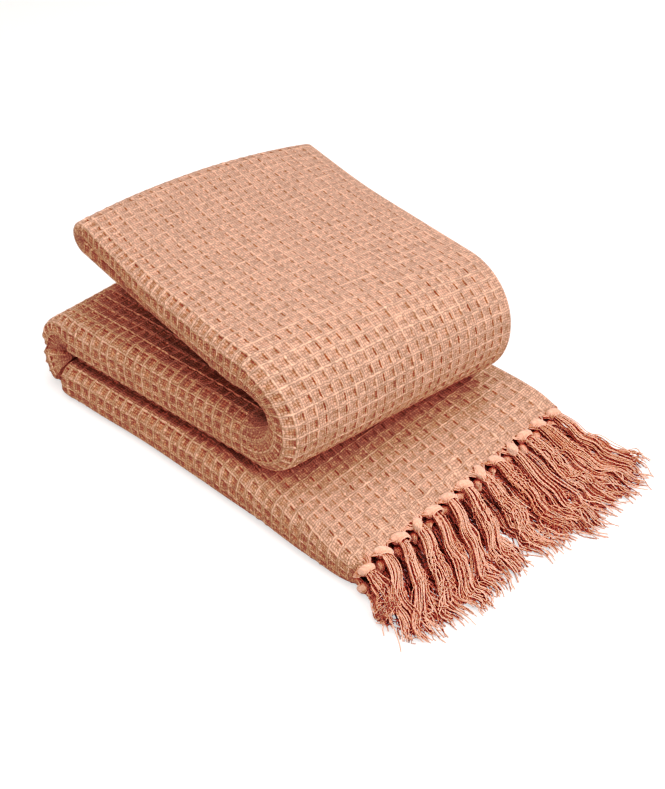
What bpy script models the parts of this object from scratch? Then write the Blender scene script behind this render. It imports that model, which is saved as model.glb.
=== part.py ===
"""A waffle weave cotton blanket with knotted fringe, folded small and lying on a floor.

The cloth is quartered along its length into a band of four plies, with one closed
edge (front, -Y) and one open edge (back, +Y). The band is then laid back and forth:
bottom run, left fold, middle run, right fold, top run, top left fold, tucked run.
Sizes below are in millimetres and the solids are in metres. +Z is up, floor at z = 0.
"""
import math

import bmesh
import bpy
from mathutils import Matrix, Vector

MM = 0.001

PLY = 4.2                 # thickness of one ply of waffle cloth
CLOSED_ROUND = 0.8        # of the closed edge's half thickness, how far its fold bulges
CLOSED_SQUARE = 0.75      # 1 is a round fold at the closed edge, and less is a squarer one
FOLD_GAP = 1.0            # between the outer and the inner fold at the closed edge
FREE_EDGE = 3.0           # from the open side to the upper free edge
END_X = 181.0             # the band's fringed end, from the middle of the whole outline
END_Y = 3.5               # the bottom run's middle line, from the same place

# Sections of the band, in order along it. Each row gives the closed front edge and the
# open back edge: x from the fringed end, y, height of the band's middle, and thickness.
# Crown is how far the band's middle stands above the line from front to back.
SECTION = ("front_x", "front_y", "front_mid", "front_thick",
           "back_x", "back_y", "back_mid", "back_thick", "crown")
RUNS = {
    "bottom": (
        (0, -164, 21, 42, 0, 157, 20, 40, 0),
        (-45, -169, 25, 50, -45, 158, 23, 46, 0),
        (-150, -168, 25, 50, -150, 157, 23, 46, 0),
        (-290, -168, 24.5, 49, -290, 156, 22, 44, 0),
        (-375, -173, 24, 48, -375, 155, 21.5, 43, 0),
        (-403, -174, 24, 48, -403, 155, 21.5, 43, 0),
        (-428, -176, 24, 48, -428, 154, 21.5, 43, 0),
    ),
    "middle": (
        (-428, -166, 80, 50, -428, 152, 73.5, 50, 3),
        (-340, -163, 86, 62, -330, 152, 77.5, 60, 2),
        (-250, -157, 86, 64, -220, 148, 74, 54, 0),
        (-165, -152, 86, 62, -118, 128, 74, 54, 0),
    ),
    "top": (
        (-165, -166, 186, 50, -118, 143, 173, 34, 5),
        (-230, -160, 192.5, 42, -200, 153, 174, 33, 6),
        (-320, -148, 200, 32, -290, 167, 175, 29, 8),
        (-416, -132, 211, 21, -389, 187, 182, 20, 11),
    ),
    "tucked": (
        (-416, -132, 189.5, 20, -389, 187, 161.5, 19, 11),
        (-340, -126, 161, 24, -320, 176, 140, 22, 4),
        (-245, -122, 134, 28, -235, 168, 118, 26, 0),
    ),
}
# Folds between the runs: the nose is how far the cloth reaches in x, front and back. A
# fold's corners are squarer the lower its roundness, at its start and at its end. The
# nose bows out between front and back, and the closed edge is pinched in by pinch_depth
# at pinch_share of the way round. Squeeze is the share of its thickness lost at the nose.
FOLD = ("front_nose", "back_nose", "turn_from", "turn_to", "inside", "squeeze",
        "round_start", "round_end", "bow", "pinch_share", "pinch_depth")
FOLDS = (
    (-481, -477, 0, 180, -1, 0.15, 0.7, 1.05, 0, 0.3, 2),
    (-92, -51, 180, 0, 1, 0.25, 0.95, 0.95, 3, 0.6, 2),
    (-436, -409, 0, -180, 1, 0.1, 1.0, 1.0, 6, 0.5, 0),
)
ROW_LENGTH = 55.0         # longest step between two sections of a run
FOLD_STEPS = 10
PINCH_WIDTH = 0.12        # of a fold's turn

# The fringe along each cut end of the cloth: a narrow strip, a knot every 24.5 mm along
# the cloth's edge, and strands that spread in y from their knots and come to rest.
KNOT_PITCH = 24.5
KNOT_WIDTH = 7.0
KNOT_CLEAR = 1.0          # least distance from a knot's side to a bend of the strip
STRIP_GAP = 0.3           # from the cloth's edge to the strip
STRIP_DEPTH = 4.0
STRIP_THICK = 3.8
KNOT_RINGS = ((3.5, 9.0, 8.0), (7.5, 6.4, 5.0))    # along the strand, width, thickness
FLOOR_GAP = 0.3           # under a knot that would touch the floor
STRAND_STOPS = (11.0, 28.0, 52.0)    # bends of a strand, along it
SPREAD_SHARE = 0.75       # of the way to the landing, where a strand is spread
UNEVEN_WAVES = ((0.6, 2.4), (0.4, 0.71))    # share and step of the waves in the reach
FRONT_CORNER = 0.2        # share of the strands that shortens towards the front corner
ROOT_RADIUS = 1.35
TIP_RADIUS = 1.0
FRINGE = ("strands", "knot_size", "stops", "reach", "uneven", "short", "front_tips",
          "back_tips", "landing", "droop")
OUTER_FRINGE = (2, 1.0, 3, 92, 12, 24, -190, 178, 62, None)
INNER_FRINGE = (1, 0.68, 2, 58, 8, 0, -116, 160, 50, 3)


def lerp(low, high, share):
    return low + (high - low) * share


def smooth(share):
    share = min(max(share, 0.0), 1.0)
    return share * share * (3 - 2 * share)


def rowBetween(rows, share):
    """A row part of the way along a run, on a Catmull-Rom curve through its rows."""
    place = share * (len(rows) - 1)
    index = min(int(place), len(rows) - 2)
    part = place - index
    start, end = rows[index], rows[index + 1]
    before = rows[max(index - 1, 0)]
    after = rows[min(index + 2, len(rows) - 1)]
    row = []
    for a, b, c, d in zip(before, start, end, after):
        bend = 2 * a - 5 * b + 4 * c - d + part * (3 * (b - c) + d - a)
        row.append(b + 0.5 * part * (c - a + part * bend))
    return row


def runShares(rows):
    """Shares along a run: each row, and even steps between two rows that lie far apart."""
    shares = []
    for index, (start, end) in enumerate(zip(rows, rows[1:])):
        steps = max(1, math.ceil(abs(end[0] - start[0]) / ROW_LENGTH))
        shares += [(index + step / steps) / (len(rows) - 1) for step in range(steps)]
    return shares + [1.0]


def foldStation(fold, low, high, share):
    """One section of a fold, part of the way round from the end of one run to the next."""
    turn = math.radians(lerp(fold["turn_from"], fold["turn_to"], share))
    roundness = lerp(fold["round_start"], fold["round_end"], share)
    ahead = abs(math.sin(turn)) ** roundness * math.copysign(1, math.sin(turn))
    above = abs(math.cos(turn)) ** roundness * math.copysign(1, math.cos(turn))
    kept = 1 - fold["squeeze"]
    row = {"turn": turn, "crown": lerp(low["crown"], high["crown"], share),
           "bow": fold["bow"] * fold["inside"] * math.sin(turn)}
    for side in ("front", "back"):
        x, y, mid, thick = (side + ending for ending in ("_x", "_y", "_mid", "_thick"))
        nose_thick = (low[thick] + high[thick]) / 2 * kept
        reach = abs(fold[side + "_nose"] - low[x]) - nose_thick / 2
        rise = abs(high[mid] - low[mid]) / 2
        row[x] = low[x] + fold["inside"] * reach * ahead
        row[y] = lerp(low[y], high[y], share)
        row[mid] = (high[mid] + low[mid]) / 2 + fold["inside"] * rise * above
        row[thick] = lerp(low[thick], high[thick], share)
        row[thick] *= lerp(1, kept, abs(math.sin(turn)))
    away = (share - fold["pinch_share"]) / PINCH_WIDTH
    row["front_y"] += fold["pinch_depth"] * math.exp(-away * away)
    return row


def bandStations():
    """Every section of the band: its row of sizes and the way its upper side faces."""
    stations = []
    runs = list(RUNS.values())
    turn = 0.0
    for number, rows in enumerate(runs):
        for share in runShares(rows):
            row = dict(zip(SECTION, rowBetween(rows, share)))
            row["turn"] = turn
            stations.append(row)
        if number < len(FOLDS):
            fold = dict(zip(FOLD, FOLDS[number]))
            low = dict(zip(SECTION, rows[-1]))
            high = dict(zip(SECTION, runs[number + 1][0]))
            for step in range(1, FOLD_STEPS):
                stations.append(foldStation(fold, low, high, step / FOLD_STEPS))
            turn = math.radians(fold["turn_to"])
    return stations


def sectionFrame(station):
    """A section's front edge, its side vector to the back edge, and the way ahead of it."""
    front = Vector((station["front_x"] + END_X, station["front_y"] + END_Y,
                    station["front_mid"]))
    back = Vector((station["back_x"] + END_X, station["back_y"] + END_Y,
                   station["back_mid"]))
    side = back - front
    ahead = Vector((side.y, -side.x, 0)).normalized()
    return front, side, ahead


def sectionPoint(station, across, up, out=0.0):
    """The place of one (across, up) pair on a section, moved ahead of it by out."""
    front, side, ahead = sectionFrame(station)
    share = across / side.length
    turn = station["turn"]
    facing = ahead * math.sin(turn) + Vector((0, 0, math.cos(turn)))
    middle = 4 * share * (1 - share)
    out += station.get("bow", 0) * middle
    lift = Vector((0, 0, station["crown"] * middle))
    return front + side * share + facing * up + ahead * out + lift


def thickAt(station, across):
    """The band's thickness at a distance across it from the closed edge."""
    share = min(max(across / sectionFrame(station)[1].length, 0.0), 1.0)
    return lerp(station["front_thick"], station["back_thick"], share)


def sectionPath(station):
    """The cloth's mid line through one section, as (across, up) pairs from the closed edge.

    It runs from the upper free edge to the outer fold at the front, back along the
    lowest ply to the fold at the open side, forward to the inner fold, and back again.
    """
    width = sectionFrame(station)[1].length

    def level(across, part):
        return (thickAt(station, across) - PLY) / 2 * part

    outer = level(0, 1.0)
    inner = outer / 3
    round_outer = outer * CLOSED_ROUND
    start = PLY / 2 + round_outer
    set_in = start + PLY + FOLD_GAP
    loop = level(width, 1.0) / 3
    loop_at = width - PLY / 2 - loop
    across_plies = [lerp(set_in, loop_at, share) for share in (0, 0.25, 0.5, 0.75, 1)]

    def ply(places, part):
        return [(across, level(across, part)) for across in places]

    path = ply([width - FREE_EDGE] + across_plies[::-1], 1.0)
    for angle in (90, 130, 162, 198, 230, 270):
        turn = math.radians(angle)
        path.append((start - round_outer * abs(math.cos(turn)) ** CLOSED_SQUARE,
                     outer * math.copysign(abs(math.sin(turn)) ** CLOSED_SQUARE, 180 - angle)))
    path += ply(across_plies[:-1], -1.0)
    for angle in (-90, -30, 30, 90):
        turn = math.radians(angle)
        path.append((loop_at + loop * math.cos(turn), loop * (math.sin(turn) - 2)))
    path += ply(across_plies[-2::-1], -1.0 / 3)
    for angle in (-135, 180, 135):
        turn = math.radians(angle)
        path.append((set_in + inner * math.cos(turn), inner * math.sin(turn)))
    path += ply(across_plies, 1.0 / 3)
    return [Vector(place) for place in path]


def pathNormal(path, index):
    """The unit normal of a mid line at one of its points, to its left."""
    run = path[min(index + 1, len(path) - 1)] - path[max(index - 1, 0)]
    return Vector((-run.y, run.x)).normalized()


def sectionRing(station):
    """The cloth's outline through one section: along its upper face and back along its
    lower one."""
    path = sectionPath(station)
    ring = []
    for side in (1, -1):
        points = []
        for index, place in enumerate(path):
            edge = place + pathNormal(path, index) * side * PLY / 2
            limit = thickAt(station, edge.x) / 2
            points.append(sectionPoint(station, edge.x, min(max(edge.y, -limit), limit)))
        ring += points[::side]
    return ring


def clothMaterial(name, colour, roughness):
    material = bpy.data.materials.new(name)
    material.use_nodes = True
    shader = material.node_tree.nodes["Principled BSDF"]
    shader.inputs["Base Color"].default_value = colour
    shader.inputs["Roughness"].default_value = roughness
    shader.inputs["Metallic"].default_value = 0.0
    return material


def addSolid(name, bm, collection, material):
    """Turns a mesh in millimetres into an object in metres, faces pointing out."""
    bmesh.ops.recalc_face_normals(bm, faces=bm.faces)
    bm.transform(Matrix.Scale(MM, 4))
    mesh = bpy.data.meshes.new(name)
    bm.to_mesh(mesh)
    bm.free()
    mesh.materials.append(material)
    mesh.shade_smooth()
    solid = bpy.data.objects.new(name, mesh)
    collection.objects.link(solid)


def closeStrip(bm, ring):
    """Closes one end of a swept sheet, with a face from each step of its outline."""
    for index in range(len(ring) // 2 - 1):
        bm.faces.new((ring[index], ring[index + 1], ring[-2 - index], ring[-1 - index]))


def buildBlanket(collection, material):
    """One closed sheet, swept through every section of the folded band."""
    bm = bmesh.new()
    rings = [[bm.verts.new(point) for point in sectionRing(station)]
             for station in bandStations()]
    for here, ahead in zip(rings, rings[1:]):
        for index in range(len(here)):
            bm.faces.new((here[index - 1], here[index], ahead[index], ahead[index - 1]))
    closeStrip(bm, rings[0])
    closeStrip(bm, rings[-1])
    addSolid("blanket", bm, collection, material)


def placeAlong(path, distance):
    """The (across, up) place at a distance along a mid line, and its unit normal."""
    for start, end in zip(path, path[1:]):
        run = end - start
        if distance <= run.length or end is path[-1]:
            normal = Vector((-run.y, run.x)).normalized()
            return start + run * (distance / run.length), normal
        distance -= run.length


def pathLength(path):
    return sum((end - start).length for start, end in zip(path, path[1:]))


def knotPlaces(length):
    """The distances along the cloth's edge at which the knots sit, evenly spaced."""
    count = int(length / KNOT_PITCH)
    first = (length - (count - 1) * KNOT_PITCH) / 2
    return [first + index * KNOT_PITCH for index in range(count)]


def buildStrip(bm, station, strands):
    """The strip along one end of the cloth. Returns the faces each knot grows from."""
    path = sectionPath(station)
    knots = knotPlaces(pathLength(path))
    stops = {0.0: None, pathLength(path): None}
    for number, knot in enumerate(knots):
        for part in range(strands + 1):
            stops[knot + (part / strands - 0.5) * KNOT_WIDTH] = number if part else None
    walked = 0.0
    for start, end in zip(path, path[1:-1]):
        walked += (end - start).length
        if min(abs(walked - knot) for knot in knots) > KNOT_WIDTH / 2 + KNOT_CLEAR:
            stops[walked] = None
    roots = [[] for knot in knots]
    last = None
    for distance in sorted(stops):
        place, normal = placeAlong(path, distance)
        ring = []
        for side, out in ((1, 0), (-1, 0), (-1, STRIP_DEPTH), (1, STRIP_DEPTH)):
            edge = place + normal * side * STRIP_THICK / 2
            ring.append(bm.verts.new(sectionPoint(station, edge.x, edge.y, STRIP_GAP + out)))
        if last:
            for index in range(4):
                face = bm.faces.new((last[index - 1], last[index],
                                     ring[index], ring[index - 1]))
                if index == 3 and stops[distance] is not None:
                    roots[stops[distance]].append(face)
        else:
            bm.faces.new(ring)
        last = ring
    bm.faces.new(last)
    return roots


def extrudeTogether(bm, faces):
    """Extrudes neighbouring faces as one and returns the new faces."""
    made = bmesh.ops.extrude_face_region(bm, geom=faces)["geom"]
    bmesh.ops.delete(bm, geom=[face for face in faces if face.is_valid],
                     context="FACES")
    return [item for item in made if isinstance(item, bmesh.types.BMFace)]


def growKnot(bm, faces, ahead, knot_size):
    """Extrudes a knot from its faces on the strip. Returns the faces at its end."""
    verts = {vert for face in faces for vert in face.verts}
    root = sum((vert.co for vert in verts), Vector()) / len(verts)
    edges = {edge for face in faces for edge in face.edges}
    thick_edge = min(edges, key=lambda edge: abs(edge.calc_length() - STRIP_THICK))
    thick_way = (thick_edge.verts[1].co - thick_edge.verts[0].co).normalized()
    wide_way = thick_way.cross(ahead).normalized()
    size = Vector((KNOT_WIDTH, STRIP_THICK))
    middle = root
    for out, width, thick in KNOT_RINGS:
        width, thick = width * knot_size, thick * knot_size
        faces = extrudeTogether(bm, faces)
        verts = {vert for face in faces for vert in face.verts}
        places = {vert: vert.co - middle for vert in verts}
        middle = root + ahead * out
        for vert, offset in places.items():
            vert.co = (middle + wide_way * offset.dot(wide_way) * width / size.x
                       + thick_way * offset.dot(thick_way) * thick / size.y)
        lift = FLOOR_GAP - min(vert.co.z for vert in verts)
        if lift > 0:
            bmesh.ops.translate(bm, verts=list(verts), vec=(0, 0, lift))
            middle.z += lift
        size = Vector((width, thick))
    return faces


def growStrand(bm, face, route):
    """Extrudes one face into a strand: the route is a list of (centre, radius)."""
    middle = face.calc_center_median()
    offsets = [(loop.vert.co - middle).normalized() for loop in face.loops]
    for centre, radius in route:
        face = bmesh.ops.extrude_discrete_faces(bm, faces=[face])["faces"][0]
        for loop, offset in zip(face.loops, offsets):
            loop.vert.co = centre + offset * radius


def strandRoutes(roots, fringe):
    """The way of every strand from its root, apart from its neighbours all the way.

    Strands end side by side in the order of their roots across the band, so they never
    cross, and they spread before the strands of the upper plies come down.
    """
    order = sorted(range(len(roots)), key=lambda index: (roots[index].y, roots[index].z))
    routes = {}
    for lane, index in enumerate(order):
        root = roots[index]
        place = lane / (len(roots) - 1)
        tip_y = lerp(fringe["front_tips"], fringe["back_tips"], place)
        change = sum(share * math.sin(lane * step) for share, step in UNEVEN_WAVES)
        short = fringe["short"] * (1 - smooth(place / FRONT_CORNER))
        reach = fringe["reach"] + fringe["uneven"] * change - short
        route = []
        for ahead in STRAND_STOPS[:fringe["stops"]] + (reach,):
            radius = lerp(ROOT_RADIUS, TIP_RADIUS, ahead / reach)
            spread = smooth(ahead / (SPREAD_SHARE * fringe["landing"]))
            fall = smooth(ahead / fringe["landing"])
            rest = radius if fringe["droop"] is None else root.z - fringe["droop"]
            route.append((Vector((root.x + ahead, lerp(root.y, tip_y, spread),
                                  lerp(root.z, rest, fall))), radius))
        routes[index] = route
    return routes


def buildFringe(name, station, row, collection, material):
    """A strip along the cloth's end, with its knots and strands, as one solid."""
    fringe = dict(zip(FRINGE, row))
    ahead = sectionFrame(station)[2]
    bm = bmesh.new()
    roots = []
    for faces in buildStrip(bm, station, fringe["strands"]):
        roots += growKnot(bm, faces, ahead, fringe["knot_size"])
    centres = [face.calc_center_median() for face in roots]
    routes = strandRoutes(centres, fringe)
    for index, face in enumerate(roots):
        growStrand(bm, face, routes[index])
    addSolid(name, bm, collection, material)


def main():
    for item in list(bpy.data.objects):
        bpy.data.objects.remove(item, do_unlink=True)
    collection = bpy.data.collections.new("folded_waffle_blanket")
    bpy.context.scene.collection.children.link(collection)
    stations = bandStations()
    buildBlanket(collection, clothMaterial("waffle_cotton", (0.75, 0.40, 0.26, 1), 0.95))
    buildFringe("fringe_outer", stations[0], OUTER_FRINGE, collection,
                clothMaterial("cotton_fringe_outer", (0.70, 0.36, 0.23, 1), 0.95))
    buildFringe("fringe_tucked", stations[-1], INNER_FRINGE, collection,
                clothMaterial("cotton_fringe_tucked", (0.66, 0.33, 0.21, 1), 0.95))


main()
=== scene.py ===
# A waffle weave cotton throw, folded and laid on the floor. Sizes in mm until a mesh is made.
import math

import bpy
import numpy as np
from mathutils import Euler, Matrix, Vector


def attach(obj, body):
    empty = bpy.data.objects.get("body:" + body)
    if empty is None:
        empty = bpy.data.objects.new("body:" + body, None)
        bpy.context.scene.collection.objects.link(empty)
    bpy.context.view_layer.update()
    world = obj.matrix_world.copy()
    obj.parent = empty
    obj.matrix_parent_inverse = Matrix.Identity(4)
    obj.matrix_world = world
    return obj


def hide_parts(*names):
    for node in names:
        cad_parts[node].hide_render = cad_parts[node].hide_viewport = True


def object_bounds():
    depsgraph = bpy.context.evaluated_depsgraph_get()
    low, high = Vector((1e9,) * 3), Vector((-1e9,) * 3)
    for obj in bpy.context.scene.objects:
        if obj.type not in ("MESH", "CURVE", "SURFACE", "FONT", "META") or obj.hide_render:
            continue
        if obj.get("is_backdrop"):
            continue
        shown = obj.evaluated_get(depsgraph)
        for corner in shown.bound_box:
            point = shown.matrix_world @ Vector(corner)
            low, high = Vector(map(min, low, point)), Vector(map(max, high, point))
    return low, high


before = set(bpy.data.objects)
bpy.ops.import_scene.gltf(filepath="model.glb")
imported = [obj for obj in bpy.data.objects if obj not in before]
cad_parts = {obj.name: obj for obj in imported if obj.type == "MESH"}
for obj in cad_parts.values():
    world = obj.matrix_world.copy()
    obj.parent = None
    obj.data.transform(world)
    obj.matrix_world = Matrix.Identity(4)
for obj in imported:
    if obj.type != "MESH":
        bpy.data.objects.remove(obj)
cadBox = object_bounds()
scene = bpy.context.scene
mm = 0.001
print("frame loaded")

# The folded band: the solids' own rows, and a lean of the left fold that they don't have. A
# row of a run: front edge x, y, height and thickness, back edge the same, and how far the
# middle stands up.
foldedBand = {
    "endX": 181.0,         # the fringed end that lies out
    "endY": 3.5,           # middle line of the bottom run
    "plyThick": 4.2,
    "closedRound": 0.8,    # bulge of the closed edge, of half its thickness
    "closedSquare": 0.75,  # 1 is round, less is squarer
    "foldGap": 1.0,
    "freeEdge": 3.0,       # the upper free edge stops short of the open side
    "runStep": 7.0,        # between two sections of a run, about
    "foldSteps": 30,       # sections of a fold
    "pinchWidth": 0.12,    # of a fold's turn
    "leanReach": 80.0,     # how far from the closed edge a fold's lean is felt
    "bottomRun": [
        (0, -164, 21, 42, 0, 157, 20, 40, 0),
        (-45, -169, 25, 50, -45, 158, 23, 46, 0),
        (-150, -168, 25, 50, -150, 157, 23, 46, 0),
        (-290, -168, 24.5, 49, -290, 156, 22, 44, 0),
        (-375, -173, 24, 48, -375, 155, 21.5, 43, 0),
        (-403, -174, 24, 48, -403, 155, 21.5, 43, 0),
        (-428, -176, 24, 48, -428, 154, 21.5, 43, 0),
    ],
    "leftFold": dict(nose=(-481, -477), turn=(0, 180), inside=-1, squeeze=0.15,
                     round=(0.7, 1.05), bow=0, pinch=(0.3, 2), lean=-16),
    "middleRun": [
        (-428, -166, 80, 50, -428, 152, 73.5, 50, 3),
        (-340, -163, 86, 62, -330, 152, 77.5, 60, 2),
        (-250, -157, 86, 64, -220, 148, 74, 54, 0),
        (-165, -152, 86, 62, -118, 128, 74, 54, 0),
    ],
    "rightFold": dict(nose=(-92, -51), turn=(180, 0), inside=1, squeeze=0.25,
                      round=(0.95, 0.95), bow=3, pinch=(0.6, 2), lean=0),
    "topRun": [
        (-165, -166, 186, 50, -118, 143, 173, 34, 5),
        (-230, -160, 192.5, 42, -200, 153, 174, 33, 6),
        (-320, -148, 200, 32, -290, 167, 175, 29, 8),
        (-416, -132, 211, 21, -389, 187, 182, 20, 11),
    ],
    "topLeftFold": dict(nose=(-436, -409), turn=(0, -180), inside=1, squeeze=0.1,
                        round=(1.0, 1.0), bow=6, pinch=(0.5, 0), lean=0),
    "tuckedRun": [
        (-416, -132, 189.5, 20, -389, 187, 161.5, 19, 11),
        (-340, -126, 161, 24, -320, 176, 140, 22, 4),
        (-245, -122, 134, 28, -235, 168, 118, 26, 0),
    ],
}
bandOrder = ["bottomRun", "leftFold", "middleRun", "rightFold", "topRun", "topLeftFold", "tuckedRun"]

# The weave: cells counted across the whole cloth, and their pitch along it, which the
# handling of the cloth has stretched more in some stretches than in others.
waffle = {
    "cellsAcross": 96,
    "cellLength": 11.6,
    "stretch": dict(bottomRun=1.08, leftFold=1.05, middleRun=1.2, rightFold=1.18, topRun=0.97,
                    topLeftFold=0.97, tuckedRun=1.1),
    "openness": dict(bottomRun=0.38, leftFold=0.72, middleRun=0.66, rightFold=0.5, topRun=0.38,
                     topLeftFold=0.8, tuckedRun=0.8),
    "skewPerRow": 0.2,     # cells: the bottom run's lines slant to its front corner
    "skewRows": 17,
    "stops": (0.0, 0.06, 0.15, 0.28, 0.5, 0.72, 0.85, 0.94),   # mesh lines inside one cell
    "pitDepth": 3.4,
    "fullness": 0.85,      # the pits' walls are steeper by the ridges the lower this is
    "lopsided": 0.75,      # how much steeper a pit's upper or far wall is than its near one
    "uneven": 0.35,        # of the depth, from cell to cell
    "hemAlong": 0.7,       # cells: the pits fade out so near the cut ends
    "hemAcross": 0.8,      # and so near the selvedges
    "crushed": (1.6, 0.45),    # depth by the spacing of the rows, and what is lost of it
}


def newObject(name, data):
    made = bpy.data.objects.new(name, data)
    scene.collection.objects.link(made)
    return made


def addValues(mesh, name, kind, values):
    key = "vector" if kind == "FLOAT_VECTOR" else "value"
    mesh.attributes.new(name, kind, "POINT").data.foreach_set(key, np.ravel(values))


def smooth(share):
    share = np.clip(share, 0.0, 1.0)
    return share * share * (3 - 2 * share)


def mixed(low, high, share):
    return low + (high - low) * share


# The mean of each value and so many neighbours on either side.
def blurred(values, reach):
    count = 2 * reach + 1
    return np.convolve(np.pad(values, reach, "edge"), np.ones(count) / count, "valid")


def runRows(rows, stepLength):
    rows = np.array(rows, float)
    made = []
    for index in range(len(rows) - 1):
        before, start = rows[max(index - 1, 0)], rows[index]
        end, after = rows[index + 1], rows[min(index + 2, len(rows) - 1)]
        steps = max(2, int(abs(end[0] - start[0]) / stepLength))
        for part in np.arange(steps) / steps:
            bend = 2 * before - 5 * start + 4 * end - after + part * (3 * (start - end) + after - before)
            made.append(start + 0.5 * part * (end - before + part * bend))
    made.append(rows[-1])
    return made


def foldRows(fold, low, high, steps):
    made = []
    low, high = np.array(low, float), np.array(high, float)
    for share in np.arange(1, steps) / steps:
        turn = math.radians(mixed(*fold["turn"], share))
        roundness = mixed(*fold["round"], share)
        ahead = abs(math.sin(turn)) ** roundness * math.copysign(1, math.sin(turn))
        above = abs(math.cos(turn)) ** roundness * math.copysign(1, math.cos(turn))
        row = mixed(low, high, share)
        for side, nose in zip((0, 4), fold["nose"]):
            noseThick = (low[side + 3] + high[side + 3]) / 2 * (1 - fold["squeeze"])
            reach = abs(nose - low[side]) - noseThick / 2
            rise = abs(high[side + 2] - low[side + 2]) / 2
            row[side] = low[side] + fold["inside"] * reach * ahead
            row[side + 2] = (high[side + 2] + low[side + 2]) / 2 + fold["inside"] * rise * above
            row[side + 3] *= mixed(1, 1 - fold["squeeze"], abs(math.sin(turn)))
        away = (share - fold["pinch"][0]) / foldedBand["pinchWidth"]
        row[1] += fold["pinch"][1] * math.exp(-away * away)
        made.append((row, turn, fold["bow"] * fold["inside"] * math.sin(turn),
                     fold["lean"] * abs(math.sin(turn))))
    return made


# Every section: its nine sizes, the turn of its upper side, its bow, how far the inner half
# of its closed edge leans back, and the stretch it is in.
def bandSections():
    sections = []
    turn = 0.0
    for number, name in enumerate(bandOrder):
        if name.endswith("Run"):
            made = [(row, turn, 0.0, 0.0) for row in runRows(foldedBand[name], foldedBand["runStep"])]
        else:
            fold = foldedBand[name]
            low = foldedBand[bandOrder[number - 1]][-1]
            high = foldedBand[bandOrder[number + 1]][0]
            made = foldRows(fold, low, high, foldedBand["foldSteps"])
            turn = math.radians(fold["turn"][1])
        sections += [(*section, name) for section in made]
    rows, turns, bows, leans, names = zip(*sections)
    return np.array(rows), np.array(turns), np.array(bows), np.array(leans), names



# The cloth's mid line through one section, as (across, up), from the upper free edge round
# the closed edge to the inner free edge.
def sectionLine(width, frontThick, backThick):
    ply = foldedBand["plyThick"]

    def level(across, part):
        share = np.clip(np.asarray(across) / width, 0, 1)
        return (mixed(frontThick, backThick, share) - ply) / 2 * part

    outer = float(level(0, 1))
    inner = outer / 3
    roundOuter = outer * foldedBand["closedRound"]
    start = ply / 2 + roundOuter
    setIn = start + ply + foldedBand["foldGap"]
    loop = float(level(width, 1)) / 3
    loopAt = width - ply / 2 - loop
    flat = np.linspace(setIn, loopAt, 24)
    upper = np.append(width - foldedBand["freeEdge"], flat[::-1])
    turn = np.radians(np.arange(90, 271, 9))
    square = foldedBand["closedSquare"]
    closed = (start - roundOuter * np.abs(np.cos(turn)) ** square,
              outer * np.sign(np.sin(turn)) * np.abs(np.sin(turn)) ** square)
    turn = np.radians(np.arange(-90, 91, 18))
    looped = (loopAt + loop * np.cos(turn), loop * (np.sin(turn) - 2))
    turn = np.radians(np.arange(270, 89, -18))
    tucked = (setIn + inner * np.cos(turn), inner * np.sin(turn))
    across = np.concatenate([upper, closed[0], flat[:-1], looped[0], flat[-2:0:-1], tucked[0], flat[1:]])
    up = np.concatenate([level(upper, 1), closed[1], level(flat[:-1], -1), looped[1],
                         level(flat[-2:0:-1], -1 / 3), tucked[1], level(flat[1:], 1 / 3)])
    return across, up


# Mid points and outward directions of the cloth, at each section and each place across.
def sectionGrid(sections, places):
    rows, turns, bows, leans, names = sections
    points = np.zeros((len(rows), len(places), 3))
    outward = np.zeros_like(points)
    for index, (row, turn, bow, lean) in enumerate(zip(rows, turns, bows, leans)):
        front = np.array((row[0] + foldedBand["endX"], row[1] + foldedBand["endY"], row[2]))
        back = np.array((row[4] + foldedBand["endX"], row[5] + foldedBand["endY"], row[6]))
        side = back - front
        width = np.linalg.norm(side)
        ahead = np.array((side[1], -side[0], 0))
        ahead /= np.linalg.norm(ahead)
        facing = ahead * math.sin(turn) + np.array((0, 0, math.cos(turn)))
        across, up = sectionLine(width, row[3], row[7])
        inwards = (1 - math.copysign(1, lean) * up / np.abs(up).max()) / 2
        across = across + abs(lean) * inwards * smooth(1 - across / foldedBand["leanReach"])
        walked = np.concatenate([[0], np.cumsum(np.hypot(np.diff(across), np.diff(up)))])
        walked /= walked[-1]
        x = np.interp(places, walked, across)
        y = np.interp(places, walked, up)
        dx, dy = np.gradient(x), np.gradient(y)
        run = np.hypot(dx, dy)
        share = x / width
        middle = 4 * share * (1 - share)
        points[index] = (front + side * share[:, None] + facing * y[:, None]
                         + ahead * (bow * middle)[:, None])
        points[index, :, 2] += row[8] * middle
        outward[index] = side / width * (dy / run)[:, None] - facing * (dx / run)[:, None]
    return points, outward


def alongRows(grid, walked, wanted):
    index = np.clip(np.searchsorted(walked, wanted) - 1, 0, len(walked) - 2)
    part = (wanted - walked[index]) / (walked[index + 1] - walked[index])
    return grid[index] * (1 - part)[:, None, None] + grid[index + 1] * part[:, None, None]


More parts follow.
